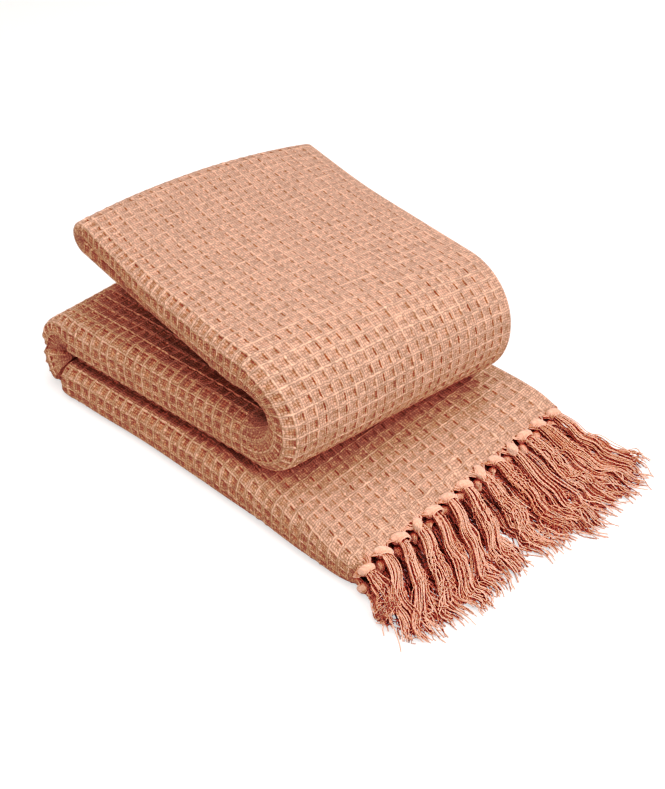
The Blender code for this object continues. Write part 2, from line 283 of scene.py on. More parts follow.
# The whole cloth on a lattice eight mesh lines to a cell, both ways.
def clothLattice():
    cells = waffle["cellsAcross"]
    stops = np.array(waffle["stops"])
    colPlaces = np.append((np.arange(cells)[:, None] + stops).ravel(), cells)
    sections = bandSections()
    points, outward = sectionGrid(sections, colPlaces / cells)
    half = foldedBand["plyThick"] / 2
    skin = points + outward * half
    step = np.linalg.norm(np.diff(skin, axis=0), axis=2)
    quarter = cells // 4 * len(stops)
    upper, lower = step[:, :quarter].mean(axis=1), step[:, quarter * 5 // 4: quarter * 2].mean(axis=1)
    pace = np.array([1 / waffle["stretch"][name] for name in sections[4][1:]])
    pace = blurred(pace, 4)
    walked = np.concatenate([[0], np.cumsum(np.maximum(upper, lower) * pace)])
    rowCells = round(walked[-1] / waffle["cellLength"])
    rowPlaces = np.append((np.arange(rowCells)[:, None] + stops).ravel(), rowCells)
    wanted = rowPlaces / rowCells * walked[-1]
    names = np.array(sections[4])[np.clip(np.searchsorted(walked, wanted), 0, len(walked) - 1)]
    points = alongRows(points, walked, wanted)
    outward = alongRows(outward, walked, wanted)
    outward /= np.linalg.norm(outward, axis=2, keepdims=True)
    return colPlaces, rowPlaces, rowCells, names, points, outward


colPlaces, rowPlaces, rowCells, rowNames, midPoints, outwards = clothLattice()
print("lattice", rowCells, "cells along,", waffle["cellsAcross"], "across")


# Small wobbles of the weave's lines, and creases and swells.
handle = {
    "lineWobble": 0.12,    # cells
    "swell": 1.0,          # soft height of the cloth's own waves
    "gather": 0.1,         # cells: how far the cut ends are drawn out at each knot
    "knotsFirst": 51,      # along the end that lies out
    "knotsLast": 46,       # along the end that is tucked in
    "endThickness": 0.35,  # of the cloth's, at its cut ends
    "endReach": 1.6,       # cells over which it thins
    "clearOfFloor": 0.05,
    # a crease: its stretch and share of it, its column, its half size in rows and columns, height
    "creases": [
        ("leftFold", 0.16, 26, 0.55, 5.0, -7.0),
        ("leftFold", 0.50, 27, 0.45, 5.0, -5.0),
        ("leftFold", 0.32, 25, 1.6, 3.0, 3.0),
        ("rightFold", 0.42, 29, 0.7, 1.6, -5.0),
        ("rightFold", 0.50, 27, 0.6, 1.0, -4.0),
    ],
}


def wave(across, along, seed):
    total = np.zeros(np.broadcast(across, along).shape)
    for order in range(1, 6):
        turn = seed * 1.7 + order * 2.4
        pace = 0.09 + 0.07 * order
        total += np.sin(pace * (across * math.cos(turn) + along * math.sin(turn)) * 2 + turn * 3) / order
    return total / 2


# Slides the weave over the folded cloth, row by row, by so many cells.
def slid(grid, shift):
    moved = np.empty_like(grid)
    for row in range(len(grid)):
        for axis in range(3):
            moved[row, :, axis] = np.interp(colPlaces + shift[row], colPlaces, grid[row, :, axis])
    return moved


# The slant is full from a tenth to a fifth of the width, and gone at a third.
def bottomSkew():
    share = colPlaces / waffle["cellsAcross"]
    where = np.interp(share, (0, 0.1, 0.22, 0.33), (0, 1, 1, 0))
    rows = np.clip(waffle["skewRows"] - rowPlaces, 0, None)
    return waffle["skewPerRow"] * rows[:, None] * where[None, :]


def handledLattice():
    across, along = colPlaces[None, :], rowPlaces[:, None]
    perCol = np.gradient(midPoints, axis=1) / np.gradient(colPlaces)[None, :, None]
    perRow = np.gradient(midPoints, axis=0) / np.gradient(rowPlaces)[:, None, None]
    inside = smooth(np.minimum(across, waffle["cellsAcross"] - across) / 2)
    inside = inside * smooth(np.minimum(along, rowCells - along) / 2)
    sideways = handle["lineWobble"] * wave(across, along, 1) * inside
    lengthways = handle["lineWobble"] * wave(across, along, 2) * inside
    for knots, away in ((handle["knotsFirst"], along), (handle["knotsLast"], rowCells - along)):
        pulled = np.cos((across / waffle["cellsAcross"] * knots - 0.5) * 2 * math.pi)
        pulled = handle["gather"] * pulled * (1 - smooth(away / 3))
        lengthways = lengthways + pulled * (1 if away is not along else -1)
    points = midPoints + perCol * sideways[..., None] + perRow * lengthways[..., None]
    lift = handle["swell"] * wave(across * 0.7, along * 0.7, 4) * inside
    for stretch, share, column, rowHalf, columnHalf, height in handle["creases"]:
        rows = rowPlaces[np.nonzero(rowNames == stretch)[0]]
        row = mixed(rows[0], rows[-1], share)
        lift += height * np.exp(-((along - row) / rowHalf) ** 2 - ((across - column) / columnHalf) ** 2)
    return points + outwards * lift[..., None]


skew = bottomSkew()
midPoints, outwards = slid(midPoints, skew), slid(outwards, skew)
midPoints = handledLattice()


# 1 where a pit's far or upper wall is on its low column side, -1 where it is on the other.
# The sides change over at the closed edge, columns 22 to 32.
def farSides():
    up = np.array([1.0 if name in ("bottomRun", "topRun", "rightFold") else -1.0 for name in rowNames])
    up = blurred(up, 12)
    upper = 1 - smooth((colPlaces - 22) / 3)
    lower = smooth((colPlaces - 29) / 3)
    return upper[None, :] - lower[None, :] + (1 - upper - lower)[None, :] * up[:, None]


farSide = farSides()


# How open the pits stand: flattened where the cloth lies stretched, open round the closed
# edge, columns 20 to 37.
def openPits():
    flat = np.array([waffle["openness"][name] for name in rowNames])
    flat = blurred(flat, 12)
    edge = smooth((colPlaces - 20) / 4) * (1 - smooth((colPlaces - 33) / 4))
    return mixed(flat[:, None], 1.0, edge[None, :])


openness = openPits()
rowSpacing = np.linalg.norm(np.gradient(midPoints, axis=0), axis=2) / np.gradient(rowPlaces)[:, None]


# How finely each cell is meshed: at 1 it is four triangles, and 4 and 8 are its mesh lines.
# First the plies and their columns, then where each ply shows and its level there.
plies = {"upper": (0, 25), "closed": (22, 32), "lower": (30, 54), "openLoop": (51, 57)}
shown = {
    ("upper", 4): ("bottomRun", "middleRun", "tuckedRun"),
    ("upper", 8): ("rightFold", "topRun", "topLeftFold"),
    ("lower", 4): ("topRun",),
    ("lower", 8): ("leftFold", "middleRun"),
    ("closed", 4): ("tuckedRun",),
    ("closed", 8): ("bottomRun", "leftFold", "middleRun", "rightFold", "topRun", "topLeftFold"),
    ("openLoop", 4): bandOrder,
}
openRows = 14              # rows of the bottom run that lie out from under the stack


def cellLevels():
    levels = np.ones((rowCells, waffle["cellsAcross"]), int)
    rowName = rowNames[np.arange(rowCells) * len(waffle["stops"]) + len(waffle["stops"]) // 2]
    for (ply, level), stretches in shown.items():
        first, last = plies[ply]
        for stretch in stretches:
            rows = np.nonzero(rowName == stretch)[0]
            block = levels[rows[0]: rows[-1] + 1, first:last]
            np.maximum(block, level, out=block)
    levels[:openRows, plies["upper"][0]:plies["upper"][1]] = 8
    return levels


levels = cellLevels()
fineStep = len(waffle["stops"])
fineCols = len(colPlaces)


# One piece of the cloth: the rows from first to last of the lattice, with both faces.
def clothMesh(name, first, last):
    cells = waffle["cellsAcross"]
    inner = len(rowPlaces) * fineCols          # keys of the inner face come after the outer
    quads, others = [], []

    def edgeKeys(row, col, downRow, step):
        # the lattice keys along one side of a cell, from its low end
        count = fineStep // step
        places = np.arange(count + 1) * step
        if downRow:
            return (row * fineStep + places) * fineCols + col * fineStep
        return row * fineStep * fineCols + col * fineStep + places

    def stepOf(row, col):
        if first <= row < last and 0 <= col < cells:
            return fineStep // levels[row, col]
        return fineStep

    for row in range(first, last):
        for col in range(cells):
            step = stepOf(row, col)
            around = [min(step, stepOf(row - 1, col)), min(step, stepOf(row, col + 1)),
                      min(step, stepOf(row + 1, col)), min(step, stepOf(row, col - 1))]
            base = row * fineStep * fineCols + col * fineStep
            if step < fineStep:
                count = fineStep // step
                place = np.arange(count)
                low = base + place[:, None] * step * fineCols + place[None, :] * step
                corners = np.stack([low, low + step, low + step * fineCols + step,
                                    low + step * fineCols], axis=-1)
                if min(around) == step:
                    quads.append(corners.reshape(-1, 4))
                    continue
                for i in range(count):
                    for j in range(count):
                        a, b, c, d = (int(key) for key in corners[i, j])
                        face = [a]
                        if i == 0 and around[0] < step:
                            face += range(a + around[0], b, around[0])
                        face.append(b)
                        if j == count - 1 and around[1] < step:
                            face += range(b + around[1] * fineCols, c, around[1] * fineCols)
                        face.append(c)
                        if i == count - 1 and around[2] < step:
                            face += range(c - around[2], d, -around[2])
                        face.append(d)
                        if j == 0 and around[3] < step:
                            face += range(d - around[3] * fineCols, a, -around[3] * fineCols)
                        others.append(face)
                continue
            low, right = edgeKeys(row, col, False, around[0]), edgeKeys(row, col + 1, True, around[1])
            high, left = edgeKeys(row + 1, col, False, around[2]), edgeKeys(row, col, True, around[3])
            ring = [*low[:-1], *right[:-1], *high[:0:-1], *left[:0:-1]]
            centre = base + fineStep // 2 * (fineCols + 1)
            ring = [int(key) for key in ring]
            others += [(start, end, centre) for start, end in zip(ring, ring[1:] + ring[:1])]
    for row in range(first, last):
        for col in range(cells):
            base = inner + row * fineStep * fineCols + col * fineStep
            ring = [base, base + fineStep * fineCols, base + fineStep * (fineCols + 1), base + fineStep]
            centre = base + fineStep // 2 * (fineCols + 1)
            others += [(start, end, centre) for start, end in zip(ring, ring[1:] + ring[:1])]

    def closeEdge(keys, turned):
        face = [*(int(key) for key in keys), inner + int(keys[-1]), inner + int(keys[0])]
        others.append(face[::-1] if turned else face)

    for row in range(first, last):             # both free edges
        for col in (0, cells):
            closeEdge(edgeKeys(row, col, True, stepOf(row, min(col, cells - 1))), col > 0)
    for col in range(cells):                   # both ends of the piece
        for row in (first, last):
            closeEdge(edgeKeys(row, col, False, stepOf(min(row, last - 1), col)), row != last)
    quads = np.concatenate(quads)
    flat = np.concatenate([quads.ravel(), np.fromiter((key for face in others for key in face), int)])
    used, place = np.unique(flat, return_inverse=True)
    outer = used < inner
    rowAt, colAt = np.divmod(np.where(outer, used, used - inner), fineCols)
    outward = outwards[rowAt, colAt] * np.where(outer, 1, -1)[:, None]
    toEnd = np.minimum(rowPlaces[rowAt], rowCells - rowPlaces[rowAt])
    thinned = mixed(handle["endThickness"], 1.0, smooth(toEnd / handle["endReach"]))
    points = midPoints[rowAt, colAt] + outward * (thinned * foldedBand["plyThick"] / 2)[:, None]
    points[:, 2] = np.maximum(points[:, 2], handle["clearOfFloor"])
    sizes = np.concatenate([np.full(len(quads), 4), [len(face) for face in others]])
    mesh = bpy.data.meshes.new(name)
    mesh.vertices.add(len(used))
    mesh.vertices.foreach_set("co", (points * mm).ravel())
    mesh.loops.add(len(flat))
    mesh.loops.foreach_set("vertex_index", place)
    mesh.polygons.add(len(sizes))
    mesh.polygons.foreach_set("loop_start", np.concatenate([[0], np.cumsum(sizes)[:-1]]))
    mesh.flip_normals()
    mesh.update(calc_edges=True)
    across, along = colPlaces[colAt], rowPlaces[rowAt]
    depth = smooth(np.minimum(along, rowCells - along) / waffle["hemAlong"] - 0.2)
    depth = depth * smooth(np.minimum(across, cells - across) / waffle["hemAcross"])
    gain, loss = waffle["crushed"]
    depth = depth * smooth(rowSpacing[rowAt, colAt] / waffle["cellLength"] * gain - loss)
    depth = depth * openness[rowAt, colAt]
    weave = np.stack([across + np.where(outer, 0, 0.5), along + np.where(outer, 0, 0.5), depth], axis=1)
    addValues(mesh, "weavePlace", "FLOAT_VECTOR", weave)
    addValues(mesh, "outward", "FLOAT_VECTOR", outward)
    addValues(mesh, "farSide", "FLOAT", farSide[rowAt, colAt])
    mesh.shade_smooth()
    return newObject(name, mesh)


# Nodes: one function adds a node with its settings and its links or values.
def addNode(tree, kind, settings, inputs):
    node = tree.nodes.new(kind)
    for key, value in settings.items():
        setattr(node, key, value)
    for key, value in inputs.items():
        plug(tree, value, node.inputs[key])
    return node


def plug(tree, value, socket):
    if isinstance(value, bpy.types.Node):
        tree.links.new(value.outputs[0], socket)
    elif isinstance(value, bpy.types.NodeSocket):
        tree.links.new(value, socket)
    else:
        socket.default_value = value


def maths(tree, operation, *values):
    return addNode(tree, "ShaderNodeMath", {"operation": operation}, dict(enumerate(values)))


def scaled(tree, vector, factor):
    return addNode(tree, "ShaderNodeVectorMath", {"operation": "SCALE"}, {0: vector, "Scale": factor})


def vectors(tree, operation, first, second):
    return addNode(tree, "ShaderNodeVectorMath", {"operation": operation}, {0: first, 1: second})


def whiteNoise(tree, place):
    return addNode(tree, "ShaderNodeTexWhiteNoise", {"noise_dimensions": "3D"}, {"Vector": place})


def softNoise(tree, place, scale, detail):
    return addNode(tree, "ShaderNodeTexNoise", {}, {"Vector": place, "Scale": scale, "Detail": detail})


def between(tree, share, first, second):
    return addNode(tree, "ShaderNodeMix", {"data_type": "FLOAT"}, {"Factor": share, 2: first, 3: second})


def bumped(tree, height, distance, strength):
    return addNode(tree, "ShaderNodeBump", {},
                   {"Strength": strength, "Distance": distance, "Height": height})


def apart(tree, vector):
    return addNode(tree, "ShaderNodeSeparateXYZ", {}, {0: vector}).outputs


def together(tree, *values):
    return addNode(tree, "ShaderNodeCombineXYZ", {}, dict(enumerate(values)))


# Carries a value from one range to another, in a straight line or with soft ends.
def ranged(tree, value, before=(0.0, 1.0), after=(0.0, 1.0), ease="LINEAR"):
    return addNode(tree, "ShaderNodeMapRange", {"interpolation_type": ease},
                   {"Value": value, "From Min": before[0], "From Max": before[1],
                    "To Min": after[0], "To Max": after[1]})


def blended(tree, share, first, second):
    mix = addNode(tree, "ShaderNodeMix", {"data_type": "RGBA"}, {"Factor": share, 6: first, 7: second})
    return mix.outputs[2]


# A point attribute of the mesh, as a material reads it.
def painted(tree, name):
    settings = {"attribute_type": "GEOMETRY", "attribute_name": name}
    return addNode(tree, "ShaderNodeAttribute", settings, {})


# A point attribute of the mesh, as Geometry Nodes read it.
def stored(tree, name, kind="FLOAT"):
    return addNode(tree, "GeometryNodeInputNamedAttribute", {"data_type": kind}, {"Name": name})


def storing(tree, geometry, name, kind, value):
    return addNode(tree, "GeometryNodeStoreNamedAttribute", {"data_type": kind, "domain": "POINT"},
                   {"Geometry": geometry, "Name": name, "Value": value})


def placed(tree, geometry, **change):
    return addNode(tree, "GeometryNodeSetPosition", {}, {"Geometry": geometry, **change})


# Keeps a value with the geometry, to be read further on as output 1.
def captured(tree, geometry, kind, value):
    node = addNode(tree, "GeometryNodeCaptureAttribute", {}, {"Geometry": geometry})
    node.capture_items.new(kind, "kept")
    plug(tree, value, node.inputs[1])
    return node


def dress(tree, geometry, material, out):
    dressed = addNode(tree, "GeometryNodeSetMaterial", {}, {"Geometry": geometry, "Material": material})
    plug(tree, dressed, out.inputs[0])


def newMaterial(name, roughness, fuzz, specular):
    material = bpy.data.materials.new(name)
    material.use_nodes = True
    shader = material.node_tree.nodes["Principled BSDF"]
    shader.inputs["Roughness"].default_value = roughness
    shader.inputs["Sheen Weight"].default_value = fuzz
    shader.inputs["Specular IOR Level"].default_value = specular
    return material, material.node_tree, shader


def linearColour(hexColour):
    parts = [int(hexColour[place:place + 2], 16) / 255 for place in (1, 3, 5)]
    linear = [part / 12.92 if part <= 0.04045 else ((part + 0.055) / 1.055) ** 2.4 for part in parts]
    return (*linear, 1)


def treeInputs(tree, sizes):
    tree.interface.new_socket("Geometry", in_out="INPUT", socket_type="NodeSocketGeometry")
    tree.interface.new_socket("Geometry", in_out="OUTPUT", socket_type="NodeSocketGeometry")
    for name in sizes:
        tree.interface.new_socket(name, in_out="INPUT", socket_type="NodeSocketFloat")
    return tree.nodes.new("NodeGroupInput").outputs, tree.nodes.new("NodeGroupOutput")


# Runs a node tree on an object with the given sizes, and leaves a plain mesh.
def bakeTree(target, tree, sizes):
    modifier = target.modifiers.new(tree.name, "NODES")
    modifier.node_group = tree
    for item in tree.interface.items_tree:
        if item.in_out == "INPUT" and item.name in sizes:
            modifier[item.identifier] = float(sizes[item.name])
    baked = bpy.data.meshes.new_from_object(target.evaluated_get(bpy.context.evaluated_depsgraph_get()))
    target.modifiers.remove(modifier)
    if target.type == "MESH":
        target.data = baked
        baked.name = target.name
        return target
    made = newObject(target.name, baked)
    bpy.data.objects.remove(target)
    return made


# Presses the pits of the waffle weave into a smooth sheet: each cell sinks from the thin
# ridges round it to its middle, and most steeply half way along each ridge.
def waffleTree(material):
    tree = bpy.data.node_groups.new("waffleRelief", "GeometryNodeTree")
    given, out = treeInputs(tree, ["pitDepth", "fullness", "lopsided", "uneven"])
    place = stored(tree, "weavePlace", "FLOAT_VECTOR")
    outward = stored(tree, "outward", "FLOAT_VECTOR")
    farSide = stored(tree, "farSide")
    split = apart(tree, place)
    parts, floors = [], []
    for axis in (0, 1):
        parts.append(maths(tree, "FRACT", split[axis]))
        floors.append(maths(tree, "FLOOR", split[axis]))
    # across the cloth the deepest place is shifted towards the far side
    rest = maths(tree, "SUBTRACT", 1.0, parts[0])
    middle = maths(tree, "MULTIPLY", parts[0], rest)
    leaning = maths(tree, "MULTIPLY", farSide, given["lopsided"])
    shift = maths(tree, "MULTIPLY", middle, leaning)
    parts[0] = maths(tree, "ADD", parts[0], shift)
    hollows = []
    for part in parts:
        angle = maths(tree, "MULTIPLY", part, math.pi)
        hollows.append(maths(tree, "SINE", angle))
    hollow = maths(tree, "MULTIPLY", hollows[0], hollows[1])
    pit = maths(tree, "POWER", hollow, given["fullness"])
    cell = together(tree, floors[0], floors[1])
    chance = whiteNoise(tree, cell)
    spread = maths(tree, "MULTIPLY", chance, given["uneven"])
    share = maths(tree, "SUBTRACT", 1.0, spread)
    deep = maths(tree, "MULTIPLY", pit, share)
    deep = maths(tree, "MULTIPLY", deep, given["pitDepth"])
    deep = maths(tree, "MULTIPLY", deep, split[2])
    deep = maths(tree, "MULTIPLY", deep, -mm)
    move = scaled(tree, outward, deep)
    pressed = placed(tree, given[0], Offset=move)
    whole = addNode(tree, "GeometryNodeRealizeInstances", {}, {0: pressed})
    dress(tree, whole, material, out)
    return tree


# Combed cotton yarn in a waffle weave: matt, with a soft fuzz, long floats on the ridges and
# plain weave in the pits. The yarns are drawn at about 3 mm, three times their real 1 mm, so
# that they show.
cottonLook = {
    # crest and deep: painted highlight on the ridges and painted shade in the pits, over the ground colour
    "crest": "#D8A68A",
    "ground": "#D4A085",
    "deep": "#C3876B",
    "slotShadow": "#96573D",     # painted shadow of a pit's steep far wall, under the floats
    "slotShadowPlace": 0.17,
    "yarnsPerCell": 4.5,
    "yarnWander": 0.28,
    "roughness": 0.9,
    "fuzz": 0.3,
    "fuzzColour": "#F8CDBB",
    "crestEdge": (0.03, 0.12),     # cells from a ridge's line: painted highlight full, and gone
    "pitEdge": (0.15, 0.45),       # cells from a ridge's line: painted pit shade none, and full
    "slotShadowEdge": (0.03, 0.1),       # half width of the painted shadow's dash, hard and soft
    "slotShadowEnds": (0.12, 0.28),
    "slotShadowOpen": (0.4, 1.0),        # least and most, from cell to cell
    "grain": (0.5, 1.22),          # brightness between two yarns and on top of one: painted shade and painted light on the yarn relief
    "ownShade": (0.66, 1.19),      # of single crossings
    "blotches": (0.93, 1.07),
    # painted shade in folds: how far it looks, from how open a place it fades, and the tint it darkens to
    "foldReach": 0.022,
    "foldOpen": 0.5,               # share of open sky from which a place has its own colour
    "foldShadeTint": (0.55, 0.2, 0.15),
    "bumpHeight": 0.0011,
}


# Painted shade: deep in a fold the colour is darkened to the dark red that light has after going from yarn
# to yarn.
def paintedFoldShade(tree, colour, reach, tint, openFrom):
    near = addNode(tree, "ShaderNodeAmbientOcclusion", {"samples": 6}, {"Distance": reach})
    share = ranged(tree, near.outputs["AO"], (0.03, openFrom), ease="SMOOTHSTEP")
    deep = vectors(tree, "MULTIPLY", colour, tint)
    mix = addNode(tree, "ShaderNodeMix", {"data_type": "VECTOR"}, {"Factor": share, 4: deep, 5: colour})
    return mix.outputs[1]


def waffleCotton():
    look = cottonLook
    material, tree, shader = newMaterial("waffleWovenCotton", look["roughness"], look["fuzz"], 0.25)
    place = painted(tree, "weavePlace").outputs["Vector"]
    split = apart(tree, place)
    # the yarns wander a little, so they never line up like a printed grid
    wander = softNoise(tree, place, 2.2, 2.0)
    centred = vectors(tree, "SUBTRACT", wander.outputs["Color"], (0.5, 0.5, 0.5))
    moved = scaled(tree, centred, look["yarnWander"])
    wandered = vectors(tree, "ADD", place, moved)
    yarnSplit = apart(tree, wandered)
    crests, waves, indexes, lines = [], [], [], []
    for axis in (0, 1):
        toLine = maths(tree, "PINGPONG", split[axis], 0.5)
        lines.append(toLine)
        crests.append(ranged(tree, toLine, look["crestEdge"], (1.0, 0.0), "SMOOTHSTEP"))
        yarn = maths(tree, "MULTIPLY", yarnSplit[axis], look["yarnsPerCell"])
        indexes.append(maths(tree, "FLOOR", yarn))
        half = maths(tree, "PINGPONG", yarn, 0.5)
        waves.append(maths(tree, "MULTIPLY", half, 2.0))
    both = maths(tree, "ADD", indexes[0], indexes[1])
    over = maths(tree, "PINGPONG", both, 1.0)
    # a crossing is long along the yarn that lies on top
    floats = []
    for axis in (0, 1):
        along = maths(tree, "POWER", waves[1 - axis], 0.35)
        floats.append(maths(tree, "MULTIPLY", waves[axis], along))
    plain = between(tree, over, floats[0], floats[1])
    onFirst = between(tree, crests[0], plain, waves[0])
    weave = between(tree, crests[1], onFirst, waves[1])
    bump = bumped(tree, weave, look["bumpHeight"], 1.0)
    # colour: pale crests as painted highlight, darker pits as painted shade, and yarns that differ a little
    # from each other
    crest = maths(tree, "MAXIMUM", crests[0], crests[1])
    nearest = maths(tree, "MINIMUM", lines[0], lines[1])
    pit = ranged(tree, nearest, look["pitEdge"], ease="SMOOTHSTEP")
    pit = maths(tree, "MULTIPLY", pit, split[2])
    base = blended(tree, pit, linearColour(look["ground"]), linearColour(look["deep"]))
    crest = maths(tree, "MULTIPLY", crest, split[2])
    lit = blended(tree, crest, base, linearColour(look["crest"]))
    # painted shadow: a short dark dash along the far side of the pit, stronger in some cells than in others
    far = painted(tree, "farSide")
    slotShadowAt = ranged(tree, far.outputs["Fac"], (-1.0, 1.0), (1 - look["slotShadowPlace"], look["slotShadowPlace"]))
    frayed = maths(tree, "MULTIPLY_ADD", yarnSplit[0], 0.2, 0.0)
    steady = maths(tree, "MULTIPLY_ADD", split[0], 0.8, frayed)
    inCell = maths(tree, "FRACT", steady)
    away = maths(tree, "SUBTRACT", inCell, slotShadowAt)
    away = maths(tree, "ABSOLUTE", away)
    narrow = ranged(tree, away, look["slotShadowEdge"], (1.0, 0.0), "SMOOTHSTEP")
    short = ranged(tree, lines[1], look["slotShadowEnds"], ease="SMOOTHSTEP")
    cellOf = [maths(tree, "FLOOR", split[axis]) for axis in (0, 1)]
    cell = together(tree, cellOf[0], cellOf[1], 5.0)
    chance = whiteNoise(tree, cell)
    opened = ranged(tree, chance, after=look["slotShadowOpen"])
    slotShadow = maths(tree, "MULTIPLY", narrow, short)
    slotShadow = maths(tree, "MULTIPLY", slotShadow, opened)
    woven = ranged(tree, split[2], (0.0, 0.4))
    slotShadow = maths(tree, "MULTIPLY", slotShadow, woven)
    lit = blended(tree, slotShadow, lit, linearColour(look["slotShadow"]))
    # painted shade between the yarns and painted light on their tops, following the yarn bump
    grain = ranged(tree, weave, after=look["grain"])
    shaded = scaled(tree, lit, grain)
    # each crossing takes the light its own way
    crossing = together(tree, indexes[0], indexes[1])
    each = whiteNoise(tree, crossing)
    own = ranged(tree, each, after=look["ownShade"])
    shaded = scaled(tree, shaded, own)
    blotch = softNoise(tree, place, 0.6, 3.0)
    tone = ranged(tree, blotch, after=look["blotches"])
    final = scaled(tree, shaded, tone)
    # painted shade: darker and redder deep in the folds
    final = paintedFoldShade(tree, final, look["foldReach"], look["foldShadeTint"], look["foldOpen"])
    plug(tree, final, shader.inputs["Base Color"])
    plug(tree, bump, shader.inputs["Normal"])
    shader.inputs["Sheen Roughness"].default_value = 0.5
    shader.inputs["Sheen Tint"].default_value = linearColour(look["fuzzColour"])
    return material


# Bakes a piece, gives it its one material and prints its size.
def finishedPiece(start, tree, sizes, material):
    piece = bakeTree(start, tree, sizes)
    piece.data.materials.clear()
    piece.data.materials.append(material)
    piece.data.calc_loop_triangles()
    print("made", piece.name, "with", len(piece.data.loop_triangles), "triangles")
    return piece


cotton = waffleCotton()
pressPits = waffleTree(cotton)
pieceRows = [0, 27, 52, 76, 97, rowCells]
clothPieces = []
for number, (first, last) in enumerate(zip(pieceRows, pieceRows[1:])):
    cloth = clothMesh("blanket_part_%d" % (number + 1), first, last)
    clothPieces.append(finishedPiece(cloth, pressPits, waffle, cotton))


# The fringe: one guide for each knot, from the cloth's end to the tips. Node trees fill the
# guides with yarn and tie the knots. A row is a place along a guide, then the half width and
# half depth of the tassel there and how loose its yarns are.
tasselShape = [
    (-3.0, 13.0, 0.8, 0.0),
    (0.0, 12.6, 1.2, 0.2),
    (2.5, 11.6, 2.0, 0.3),
    (4.8, 7.6, 3.0, 0.0),
    (7.0, 4.2, 3.6, 0.0),
    (10.0, 4.4, 3.8, 0.0),
    (14.0, 5.4, 4.4, 1.5),
    (20.0, 6.2, 5.0, 4.0),
    (28.0, 7.0, 5.2, 6.5),
    (38.0, 7.8, 5.2, 9.5),
    (50.0, 8.6, 4.8, 13.0),
    (62.0, 9.6, 4.2, 17.0),
    (75.0, 11.0, 3.8, 21.0),
    (88.0, 12.2, 3.4, 25.0),
    (100.0, 13.4, 3.0, 29.0),
]
outerFringe = {
    "knots": handle["knotsFirst"],
    "knotAhead": 6.0,
    "knotSize": 1.14,
    # a knot's y: where its tassel ends, ahead of the cloth and in y
    "tips": [(-160, 60, -178), (-142, 76, -172), (-113, 92, -160), (-81, 98, -128),
             (-33, 104, -72), (-4, 112, -32), (23, 118, 14), (65, 126, 62), (91, 130, 102),
             (117, 130, 140), (163, 121, 192)],
    "spread": 0.45,        # of the sideways way, for the plies that lie below
    "landing": 84.0,
    "restHeight": (9.0, 2.4, 3.4, 5.5),      # upper, lower and the two tucked plies
    "sway": 4.0,
    "fly": (12.0, 8.0, 3.5),                # how far one tassel strays in reach, y and height
    "seed": 3,
}
tuckedFringe = {
    "knots": handle["knotsLast"],
    "knotAhead": 5.5,
    "knotSize": 0.74,
    "tips": [(-125, 50, -118), (0, 56, 12), (170, 48, 160)],
    "spread": 1.0,
    "landing": 60.0,
    "droop": 3.0,
    "sway": 2.5,
    "fly": (6.0, 6.0, 1.0),
    "seed": 5,
}


plyEdges = (28, 58, 81)    # columns of the cloth where one ply turns into the next
straightTo = 14.0          # mm from the cloth that every tassel keeps straight on, knot and all
hiddenReach = 0.92         # of the reach, for the plies under the upper one


def fringeGuides(fringe, row):
    chance = np.random.default_rng(fringe["seed"])
    edge, facing = midPoints[row], outwards[row]
    walked = np.concatenate([[0], np.cumsum(np.linalg.norm(np.diff(edge, axis=0), axis=1))])
    pitch = walked[-1] / fringe["knots"]
    shape = np.array(tasselShape)
    tips = np.array(fringe["tips"], float)
    guides, knots = [], []
    for number in range(fringe["knots"]):
        at = (number + 0.5) * pitch
        root = np.array([np.interp(at, walked, edge[:, axis]) for axis in range(3)])
        normal = np.array([np.interp(at, walked, facing[:, axis]) for axis in range(3)])
        col = np.interp(at, walked, colPlaces)
        ply = int(np.searchsorted(plyEdges, col))
        side = np.cross(normal, (1, 0, 0))
        side /= np.linalg.norm(side)
        flyAhead, flySide, flyUp = (chance.uniform(-far, far) for far in fringe["fly"])
        reach = np.interp(root[1], tips[:, 0], tips[:, 1]) + flyAhead
        tipY = np.interp(root[1], tips[:, 0], tips[:, 2]) + flySide
        if ply:
            reach *= hiddenReach
            tipY = mixed(root[1], tipY, fringe["spread"])
        phase, pace = chance.uniform(0, 6.3), chance.uniform(34, 52)
        points = []
        for walk, wide, deep, loose in shape:
            share = max(walk, 0) / 100
            ahead = walk
            if walk > straightTo:
                ahead = mixed(straightTo, reach, (walk - straightTo) / (100 - straightTo))
            spread = float(smooth(share * 1.25))
            y = mixed(root[1], tipY, spread * mixed(1.0, share, 0.6))
            y += fringe["sway"] * math.sin(ahead / pace * 6.28 + phase) * float(smooth((share - 0.1) * 2))
            fall = float(smooth(ahead / fringe["landing"]))
            rest = root[2] - fringe["droop"] if "droop" in fringe else fringe["restHeight"][ply]
            rest += flyUp * math.sin(share * 5 + phase)
            points.append((root[0] + ahead, y, mixed(root[2], rest, fall)))
        guides.append((points, side, normal, ply))
        knotPlace = root + np.array((fringe["knotAhead"], 0, -0.6))
        knots.append((knotPlace, side, normal, ply))
    return guides, knots


def guideObject(name, guides, wanted):
    chosen = [guide for guide in guides if guide[3] in wanted]
    shape = np.array(tasselShape)
    steps = len(shape)
    points = np.concatenate([guide[0] for guide in chosen])
    edges = [(guide * steps + step, guide * steps + step + 1)
             for guide in range(len(chosen)) for step in range(steps - 1)]
    mesh = bpy.data.meshes.new(name)
    mesh.from_pydata((points * mm).tolist(), edges, [])
    sideWay = np.concatenate([guide[1][None, :] * shape[:, 1:2] for guide in chosen]) * mm
    upWay = np.concatenate([guide[2][None, :] * shape[:, 2:3] for guide in chosen]) * mm
    loose = np.tile(shape[:, 3], len(chosen)) * mm
    tassel = np.repeat(np.arange(len(chosen)), steps).astype(float)
    addValues(mesh, "sideWay", "FLOAT_VECTOR", sideWay)
    addValues(mesh, "upWay", "FLOAT_VECTOR", upWay)
    addValues(mesh, "loose", "FLOAT", loose)
    addValues(mesh, "tassel", "FLOAT", tassel)
    return newObject(name, mesh)


